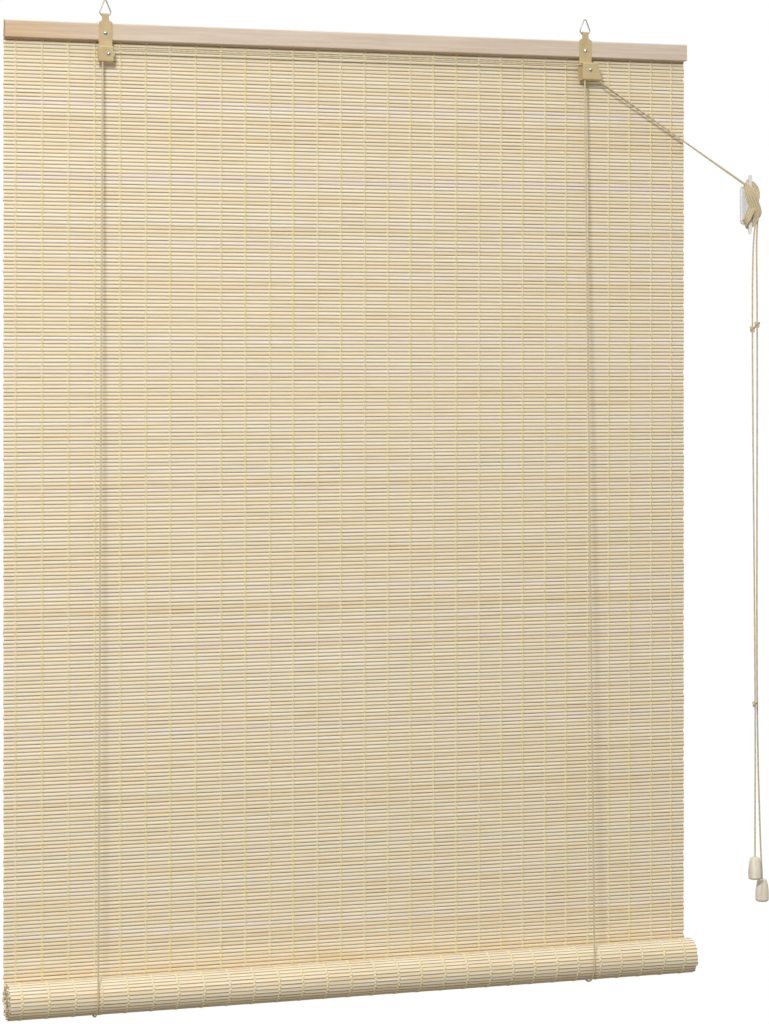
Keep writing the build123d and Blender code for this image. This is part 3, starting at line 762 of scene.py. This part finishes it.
warp_cotton = thread_cotton()
FIELD_PIECES = [slat_mat]
for label, first_front in (("a", True), ("b", False)):
    hanging = threads(f"warp_thread_{label}", field_rows, first_front)
    FIELD_PIECES.append(add_piece(f"warp_thread_{label}", hanging, "blind", warp_cotton))
    wound = threads(f"rolled_thread_{label}", roll_places[:OUTER_TURN_SLATS], first_front)
    add_piece(f"rolled_thread_{label}", wound, "roll", warp_cotton)

# %% [markdown]
# ## Cord
# The lifting cord is braided, about as thick as a bootlace. Its strands cross in two directions, so the
# braid is two sets of slanting waves on a UV map that holds metres along the cord and a share round it,
# and the higher of the two is what shows. The grooves between the strands get painted shade.

# %% Braid group and cord material
CORD = 2.4 * MM
BRAID_PITCH = 2.8 * MM
STRANDS_ROUND = 4.0
SOIL_SCALE = 40.0

braid_tree, b, b_in, b_out = new_group(
    "braid",
    [("Along", "NodeSocketFloat", 0.0), ("Round", "NodeSocketFloat", 0.0),
     ("Pitch", "NodeSocketFloat", BRAID_PITCH)],
    [("Height", "NodeSocketFloat")],
)
steps = b.math("DIVIDE", b_in.outputs["Along"], b_in.outputs["Pitch"])
round_steps = b.math("MULTIPLY", b_in.outputs["Round"], STRANDS_ROUND)
right_hand = b.math("SINE", b.math("MULTIPLY", b.math("ADD", steps, round_steps), 2 * pi))
left_hand = b.math("SINE", b.math("MULTIPLY", b.math("SUBTRACT", steps, round_steps), 2 * pi))
b.join(b.math("MULTIPLY_ADD", b.math("MAXIMUM", right_hand, left_hand), 0.5, 0.5), b_out.inputs["Height"])


def cord_braid():
    material, n, shader = new_material("cord_braid", 0.72)
    parts = n.add("SeparateXYZ")
    n.join(n.add("UVMap", uv_map="UVMap").outputs[0], parts.inputs[0])
    braid = n.add("Group", node_tree=braid_tree)
    n.join(parts.outputs[0], braid.inputs["Along"])
    n.join(parts.outputs[1], braid.inputs["Round"])
    soil = n.noise(n.add("TexCoord").outputs["Object"], SOIL_SCALE, 3.0)
    # Painted shade: the braid's grooves are darker and its raised strands paler.
    painted_braid_shade = n.ramp(braid.outputs[0], [(0.1, srgb(184, 166, 128)), (0.7, srgb(226, 211, 176))])
    n.join(n.mix(n.math("MULTIPLY", soil, 0.4), painted_braid_shade, srgb(182, 162, 120)), shader.inputs["Base Color"])
    n.join(n.bump(braid.outputs[0], 0.3, 0.3 * MM), shader.inputs["Normal"])
    shader.inputs["Sheen Weight"].default_value = 0.15
    return material


cord_cotton = cord_braid()
print("cord", round(CORD / MM, 2), "mm thick")

# %% [markdown]
# A cord's line is a curve through the air. A NURBS spline of order three bends evenly near its control
# points, so a few of them give a smooth hang. The curve is then made a mesh, because its UV map is
# stretched to metres.

# %% Curves that become cords


def spline_curve(name, points, radius):
    """A round curve that follows control points smoothly."""
    curve = bpy.data.curves.new(name, "CURVE")
    curve.dimensions = "3D"
    spline = curve.splines.new("NURBS")
    spline.points.add(len(points) - 1)
    for control, place in zip(spline.points, points):
        control.co = (*place, 1)
    spline.order_u = 3
    spline.use_endpoint_u = True
    curve.resolution_u = 10
    curve.bevel_depth = radius
    curve.bevel_resolution = 3
    curve.use_fill_caps = True
    return curve


def curve_mesh(curve):
    """The curve's surface as a mesh. An object is needed for it only while it is made."""
    holder = bpy.data.objects.new(curve.name, curve)
    bpy.context.collection.objects.link(holder)
    bpy.context.view_layer.update()
    mesh = bpy.data.meshes.new_from_object(holder)
    bpy.data.objects.remove(holder)
    return mesh


def centreline(curve):
    """Points along the smooth line of a curve, from its own spline."""
    bare = curve.copy()
    bare.bevel_depth = 0
    return [v.co.copy() for v in curve_mesh(bare).vertices]


def cord_mesh(name, points, radius=CORD / 2):
    """A cord with its UV map in metres along it. Gives its mesh, its middle line and its length."""
    curve = spline_curve(name, points, radius)
    line = centreline(curve)
    length = sum((q - p).length for p, q in zip(line, line[1:]))
    mesh = curve_mesh(curve)
    for corner in mesh.uv_layers["UVMap"].data:
        corner.uv.x *= length
    for face in mesh.polygons:
        face.use_smooth = True
    return mesh, line, length


# %% [markdown]
# ## Cords that the blind holds
# Each lifting cord starts at a staple behind the rail, hangs behind the mat, passes under the roll and
# comes up in front to its wheel. The upright stretches shorten as the roll rises, so they are pieces of
# their own; the hanging mat shortens with them. Here each of these pieces only gets its own copy of its
# mesh.

# %% Upright cords
CORD_PARTS = 8


def shorten(piece):
    """Gives a piece its own copy of its mesh."""
    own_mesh(piece)


def between_ends(low, high, start_high_x):
    """The two ends of a straight cord that fills a box: its upper end first."""
    r = CORD / 2
    left, right = low.x + r, high.x - r
    near, far = low.y + r, high.y - r
    top_x, foot_x = (right, left) if start_high_x else (left, right)
    return Vector((top_x, far, high.z)), Vector((foot_x, near, low.z))


def hang_cord(name, node, top, foot):
    """A straight cord from its top to its foot, in short lengths."""
    points = [top.lerp(foot, part / CORD_PARTS) for part in range(CORD_PARTS + 1)]
    mesh = cord_mesh(name, points)[0]
    shorten(add_piece(name, mesh, "blind", cord_cotton, [node]))


for side, slants_left in (("left", True), ("right", False)):
    low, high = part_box(f"cord_front_{side}")
    top, foot = between_ends(low, high, slants_left)
    hang_cord(f"front_cord_{side}", f"cord_front_{side}", top, foot)
    low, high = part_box(f"cord_back_{side}")
    top, foot = between_ends(low, high, False)
    hang_cord(f"back_cord_{side}", f"cord_back_{side}", top, foot)

for piece in FIELD_PIECES:
    shorten(piece)

# %% [markdown]
# Under the roll the cord is a half turn about the roll's axis, and it rises with the roll.

# %% Slings under the roll
SLING_GAP = 0.3 * MM
SLING_RADIUS = ROLL_RADIUS + SLING_GAP + CORD / 2
SLING_PARTS = 16


def sling_point(x, part):
    """A place on the half turn from the back of the roll, under it, to the front."""
    turn = -pi * part / SLING_PARTS
    return Vector((x, ROLL_AXIS.y + SLING_RADIUS * cos(turn), ROLL_AXIS.z + SLING_RADIUS * sin(turn)))


for side in ("left", "right"):
    low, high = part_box(f"cord_sling_{side}")
    x = (low.x + high.x) / 2
    half_turn = [sling_point(x, part) for part in range(SLING_PARTS + 1)]
    mesh = cord_mesh(f"sling_cord_{side}", half_turn)[0]
    add_piece(f"sling_cord_{side}", mesh, "carriage", cord_cotton, [f"cord_sling_{side}"])

# %% [markdown]
# ## Pull cords over the wheels
# The left cord comes up over its wheel, runs along under the rail, and both cords go over the wheels in
# the right bracket, out over its lip and tight across to the cleat. A tight cord is straight between the
# things that it bends round, so each wheel gets points on an arc of the wheel's own groove, and the
# stretches between have a point near each end, which keeps the smooth line straight there.

# %% Pull cords, tight from the wheels to the cleat
GROOVE_TRACK = 7.6 * MM
FRONT_BELOW = 4.5 * MM
LIP_REACH = 18.4 * MM
LIP_BELOW = 1.0 * MM
STRAIGHT_NEAR = 15 * MM
ENTRY_X = -9.0 * MM
ENTRY_PLACE = {"left": (2.0 * MM, -230.3 * MM), "right": (-0.8 * MM, -232.6 * MM)}
BRACKET_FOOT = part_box("bracket_right")[0].z
LIP = (JOINTS["ring_swing_right"]["pos_m"][0] + LIP_REACH, BRACKET_FOOT - LIP_BELOW)
cleat_low, cleat_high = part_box("cord_cleat")
CLEAT = (cleat_low + cleat_high) / 2


def wheel_middle(node):
    low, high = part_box(node)
    return (low + high) / 2


def wheel_arc(middle, start, end, steps):
    """Points round a wheel's groove, by the angle from its right-hand side."""
    angles = [radians(start + (end - start) * k / steps) for k in range(steps + 1)]
    return [middle + Vector((GROOVE_TRACK * cos(a), 0, GROOVE_TRACK * sin(a))) for a in angles]


def entry_point(side):
    """Where a cord reaches its first turn on the cleat. The two lie one above the other there."""
    return Vector((CLEAT.x + ENTRY_X, *ENTRY_PLACE[side]))


def lip_run(wheel, side):
    """From the top of a right wheel, round it and over the lip, then tight to the cleat."""
    lip = Vector((LIP[0], wheel.y, LIP[1]))
    reach = lip - wheel
    leave = degrees(atan2(reach.z, reach.x)) + degrees(acos(GROOVE_TRACK / hypot(reach.x, reach.z)))
    entry = entry_point(side)
    ahead = (entry - lip).normalized() * STRAIGHT_NEAR
    return [*wheel_arc(wheel, 90, leave, 4), lip, lip + ahead, entry - ahead, entry]


def up_run(wheel):
    """From below a bracket up to its wheel and over to its top."""
    start = Vector((wheel.x - GROOVE_TRACK, wheel.y, BRACKET_FOOT - FRONT_BELOW))
    return [start, *wheel_arc(wheel, 180, 90, 5)]


left_wheel = wheel_middle("pulley_left")
rear_wheel = wheel_middle("pulley_right_rear")
front_wheel = wheel_middle("pulley_right_front")
left_wheel.y = rear_wheel.y
along_rail = Vector((STRAIGHT_NEAR, 0, 0))
left_run = up_run(left_wheel)
right_start = lip_run(rear_wheel, "left")
left_points = [*left_run, left_run[-1] + along_rail, right_start[0] - along_rail, *right_start]
right_points = up_run(front_wheel)[:-1] + lip_run(front_wheel, "right")
for side, points in (("left", left_points), ("right", right_points)):
    mesh, _, length = cord_mesh(f"pull_cord_{side}_tight", points)
    add_piece(f"pull_cord_{side}_tight", mesh, "blind", cord_cotton, [f"pull_cord_{side}"])
    print(f"pull_cord_{side}_tight is", round(length, 3), "m long")

# %% [markdown]
# ## Free ends of the pull cords
# Past the cleat each cord is free: it is wound round the two horns in figures of eight, and what is left
# hangs down to its acorn. A figure of eight is a sine that runs twice as fast across as up and down. It
# passes in front of the stem and behind the horns. Every turn lies a little further out, with its crossing
# further to the right, and strands from top left to bottom right lie over the others. The pairs of numbers
# are millimetres at the first turn and at the last.

# %% Figures of eight on the cleat
TURNS = 3
START_ANGLE = 0.36 * pi
LEAVE_ANGLE = 0.62 * pi
POINTS_PER_TURN = 16
SPARE_CORDS = {
    "left": {
        "half_height": (29.0, 37.0), "half_width": (7.5, 8.0),
        "front": (-2.0, -8.0), "crossing": (-4.0, 7.0),
    },
    "right": {
        "half_height": (27.5, 38.0), "half_width": (6.5, 7.5),
        "front": (-3.5, -9.5), "crossing": (-2.0, 9.0),
    },
}
BEHIND_HORN = (8.4, 4.6)
TIPS_LEFT = 2.5
OVER = 1.4


def between(ends, share):
    """A value that goes evenly from the first end to the second."""
    return ends[0] + (ends[1] - ends[0]) * share


def figure_eights(half_height, half_width, front, crossing):
    """Points of the turns about the cleat, in metres, from the inside out."""
    span = 2 * pi * TURNS + LEAVE_ANGLE - START_ANGLE
    count = round(span / (2 * pi) * POINTS_PER_TURN)
    points = []
    for k in range(count + 1):
        share = k / count
        angle = START_ANGLE + span * share
        x = -between(half_width, share) * sin(2 * angle)
        x += between(crossing, share) * sin(angle) ** 2 - TIPS_LEFT * cos(angle) ** 2
        near = between(front, share) - OVER * sin(angle)
        y = near + (between(BEHIND_HORN, share) - near) * cos(angle) ** 4
        z = between(half_height, share) * cos(angle)
        points.append(Vector((CLEAT.x + x * MM, y * MM, CLEAT.z + z * MM)))
    return points


print(TURNS, "turns of each cord,", len(figure_eights(**SPARE_CORDS["left"])), "points in each")

# %% [markdown]
# The hanging ends repeat the CAD route, whose places are millimetres from the cleat's middle and down from
# the hooks. They end in a knot inside the acorn.

# %% Free cords with their acorns
ACORN_HEIGHT = 32.5
ACORN_HOLLOW = 20.0
LEFT_TAIL = [(4.3, 0.5, 292.0), (1.9, -0.5, 443.0), (7.1, -1.5, 998.0), (6.0, -2.0, 1176.0)]
LEFT_ACORN = (6.0, -2.0, 1216.5)
RIGHT_TAIL = [
    (9.3, 1.5, 284.0), (12.0, 2.0, 430.0), (11.0, 3.5, 998.0), (19.9, 8.0, 1212.0), (22.8, 9.0, 1244.0),
]
RIGHT_ACORN = (22.8, 9.0, 1251.5)
SIDE_KNOT_DROPS = {"left": (443.0, 998.0), "right": (430.0,)}
KNOT_SIZE = 1.5 * MM
KNOT_CORD = 0.8 * CORD / 2
KNOT_POINTS = 24


def below_hooks(x, y, drop):
    return Vector((CLEAT.x + x * MM, y * MM, -drop * MM))


def knot_mesh(name, place):
    """An overhand knot pulled tight round a cord: a trefoil that closes on itself."""
    points = []
    for k in range(KNOT_POINTS + 1):
        t = 2 * pi * k / KNOT_POINTS
        across = Vector((sin(t) + 2 * sin(2 * t), 1.6 * sin(3 * t), cos(t) - 2 * cos(2 * t)))
        points.append(place + across * KNOT_SIZE)
    return cord_mesh(name, points, KNOT_CORD)[0]


for side, tail, acorn in (("left", LEFT_TAIL, LEFT_ACORN), ("right", RIGHT_TAIL, RIGHT_ACORN)):
    entry = entry_point(side)
    hang = [below_hooks(*place) for place in tail]
    hang.append(below_hooks(acorn[0], acorn[1], acorn[2] + ACORN_HEIGHT - ACORN_HOLLOW))
    turns = figure_eights(**SPARE_CORDS[side])
    mesh, line, length = cord_mesh(f"free_cord_{side}", [entry, *turns, *hang])
    replaced = [f"pull_cord_{side}_tail"] + (["cleat_winding"] if side == "left" else [])
    free = add_piece(f"free_cord_{side}", mesh, "blind", cord_cotton, replaced)
    for number, drop in enumerate(SIDE_KNOT_DROPS[side], 1):
        place = min(line, key=lambda p: abs(p.z + drop * MM))
        name = f"side_knot_{side}_{number}"
        add_piece(name, knot_mesh(name, place), "blind", cord_cotton)
    print(f"free_cord_{side} is", round(length, 3), "m long")

# %% [markdown]
# ## Metal, plastic and the stopper knots
# The brackets were folded from sheet and then painted the colour of straw, so the paint is even but for
# slow cloudiness and a fine orange-peel texture. Nails, rivets, rings and staples are bare plated steel,
# brighter where they are smooth. The wheels are plain nylon, and the cleat is white plastic that lets a
# little light in.

# %% Paint, steel and plastic
PAINT_CLOUDS = 55.0
ORANGE_PEEL = 1500.0
TARNISH = 420.0
MOULD_FLOW = 120.0
MOULD_GRAIN = 900.0
KNOT_STRANDS = (700, 700, 1400)
STEELS = [
    ("rivet_steel", (236, 234, 230), (196, 192, 186), 0.28, ["axle_rivet_left", "axle_rivet_right"]),
    ("nail_steel", (240, 238, 234), (206, 202, 196), 0.25, ["bracket_nails"]),
    ("ring_wire", (206, 200, 184), (178, 170, 150), 0.45, ["hang_ring_left", "hang_ring_right"]),
    ("staple_steel", (214, 210, 204), (170, 166, 160), 0.4, ["field_staples", "cord_staples"]),
]


def bracket_paint():
    material, n, shader = new_material("bracket_paint", 0.42)
    place = n.add("TexCoord").outputs["Object"]
    cloud = n.noise(place, PAINT_CLOUDS, 2.0)
    peel = n.noise(place, ORANGE_PEEL, 2.0)
    straw = n.ramp(cloud, [(0.35, srgb(198, 175, 128)), (0.65, srgb(209, 188, 143))])
    n.join(straw, shader.inputs["Base Color"])
    n.join(n.math("MULTIPLY_ADD", peel, 0.2, 0.34), shader.inputs["Roughness"])
    n.join(n.bump(peel, 0.15, 0.1 * MM), shader.inputs["Normal"])
    return material


def steel(name, bright, dull, roughness):
    material, n, shader = new_material(name, roughness, 1.0)
    place = n.add("TexCoord").outputs["Object"]
    tarnish = n.noise(place, TARNISH, 3.0)
    n.join(n.ramp(tarnish, [(0.3, dull), (0.7, bright)]), shader.inputs["Base Color"])
    n.join(n.math("MULTIPLY_ADD", tarnish, 0.25, roughness - 0.12), shader.inputs["Roughness"])
    return material


def plastic(name, colour, shade, roughness, clear):
    material, n, shader = new_material(name, roughness)
    place = n.add("TexCoord").outputs["Object"]
    flow = n.noise(place, MOULD_FLOW, 2.0)
    n.join(n.ramp(flow, [(0.3, shade), (0.7, colour)]), shader.inputs["Base Color"])
    n.join(n.bump(n.noise(place, MOULD_GRAIN, 2.0), 0.1, 0.1 * MM), shader.inputs["Normal"])
    shader.inputs["Transmission Weight"].default_value = clear
    shader.inputs["Coat Weight"].default_value = clear
    return material


def knot_cotton():
    """The cord's cotton for a knot, which has no length to wind a braid along."""
    material, n, shader = new_material("knot_cotton", 0.75)
    place = n.add("TexCoord").outputs["Object"]
    strands = n.noise(n.scaled(place, KNOT_STRANDS), 1.0, 3.0)
    cotton = n.ramp(strands, [(0.3, srgb(160, 138, 98)), (0.7, srgb(230, 214, 176))])
    n.join(cotton, shader.inputs["Base Color"])
    n.join(n.bump(strands, 0.7, 0.3 * MM), shader.inputs["Normal"])
    return material


dress(bracket_paint(), "bracket_left", "bracket_right")
for name, bright, dull, roughness, nodes in STEELS:
    dress(steel(name, srgb(*bright), srgb(*dull), roughness), *nodes)
wheel_nylon = plastic("wheel_plastic", srgb(232, 228, 214), srgb(214, 208, 192), 0.5, 0.0)
dress(wheel_nylon, "pulley_left", "pulley_right_rear", "pulley_right_front")
dress(plastic("cleat_plastic", srgb(255, 255, 255), srgb(250, 250, 249), 0.25, 0.06), "cord_cleat")
dress(knot_cotton(), "stopper_knot_left", "stopper_knot_right")
